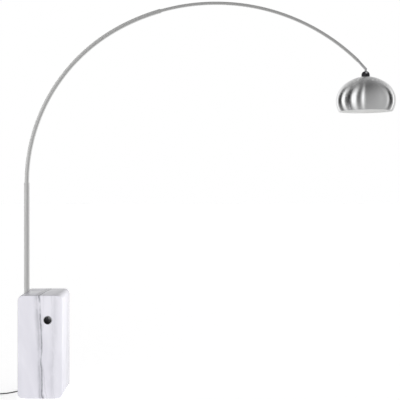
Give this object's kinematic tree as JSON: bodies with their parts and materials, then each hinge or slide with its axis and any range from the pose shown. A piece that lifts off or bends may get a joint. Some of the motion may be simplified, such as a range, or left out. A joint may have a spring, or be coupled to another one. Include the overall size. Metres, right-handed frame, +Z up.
{
  "type": "arc floor lamp",
  "caption": "Arc floor lamp: marble base, telescopic square-tube arc and a pivoted dome shade with a separate reflector, with its cord, foot switch and plug.",
  "frame": {"origin": "centre of the base's underside, on the floor", "axes": "+X from the base towards the shade, +Z up, +Y to the side the cord leaves from; the arc lies in the plane Y = 0"},
  "size_m": [2.291, 0.4431, 2.1496],
  "materials": {
    "marble": "polished white marble with grey veins",
    "satin_steel": "satin brushed stainless steel",
    "chrome": "polished chrome",
    "dark_chrome": "polished black chrome",
    "spun_aluminium": "spun, polished and lightly brushed outside; the reflector is white inside",
    "zinc_steel": "bright zinc-plated steel",
    "felt": "pressed black felt",
    "black_rubber": "satin black cord jacket",
    "black_plastic": "fine satin moulded black plastic",
    "white_lead": "white cable jacket",
    "ceramic": "unglazed white ceramic",
    "opal_glass": "opal glass",
    "brass": "bright nickel over brass"
  },
  "bodies": {
    "base": {"marble_block": "marble", "felt_underlay": "felt", "hole_liner_front": "chrome", "hole_liner_rear": "chrome", "stem_post": "satin_steel", "post_foot_plug": "zinc_steel", "tie_bolt": "zinc_steel", "tie_washer": "zinc_steel", "post_lock_screw": "zinc_steel", "cable_gland": "black_plastic", "strain_relief": "black_rubber", "post_cable": "white_lead", "cord_to_switch": "black_rubber", "foot_switch_base": "black_plastic", "foot_switch_cover": "black_plastic", "switch_contact_block": "ceramic", "cord_to_coil": "black_rubber", "cord_coil": "black_rubber", "cord_to_plug": "black_rubber", "plug_body": "black_plastic", "plug_pin_left": "brass", "plug_pin_right": "brass"},
    "lower_boom": {"lower_arc": "satin_steel", "arc_lock_screw": "zinc_steel", "lower_arc_cable": "white_lead"},
    "upper_boom": {"upper_arc": "satin_steel", "arm_tip": "chrome", "arm_tip_screw": "zinc_steel", "upper_arc_cable": "white_lead"},
    "lamp_head": {"head_knuckle": "dark_chrome", "pivot_screw_front": "chrome", "pivot_screw_rear": "chrome", "threaded_nipple": "zinc_steel", "head_cable": "white_lead", "perforated_cap": "spun_aluminium", "cap_washer": "zinc_steel", "cap_nut": "zinc_steel", "holder_nut": "zinc_steel", "lampholder_shell": "black_plastic", "lampholder_ring": "black_plastic", "lampholder_insert": "ceramic", "bulb_cap": "brass", "bulb_glass": "opal_glass"},
    "shade": {"reflector": "spun_aluminium"},
    "foot_button": {"foot_switch_button": "black_plastic"}
  },
  "joints": [
    {"name": "stem_height", "type": "slide", "parent": "base", "child": "lower_boom", "axis": [0, 0, 1], "range_m": [0, 0.14]},
    {"name": "arc_extension", "type": "hinge", "parent": "lower_boom", "child": "upper_boom", "pos_m": [0.94555, 0, 1.02262], "axis": [0, 1, 0], "range_deg": [-4, 4]},
    {"name": "head_swing", "type": "hinge", "parent": "upper_boom", "child": "lamp_head", "pos_m": [1.7674, 0, 1.758], "axis": [0, 1, 0], "range_deg": [-45, 45]},
    {"name": "reflector_tilt", "type": "hinge", "parent": "lamp_head", "child": "shade", "pos_m": [1.7674, 0, 1.5651], "axis": [0, 1, 0], "range_deg": [-4, 4]},
    {"name": "foot_switch_press", "type": "slide", "parent": "base", "child": "foot_button", "axis": [0, 0, -1], "range_m": [0, 0.0025], "stiffness_N_per_m": 2000}
  ]
}
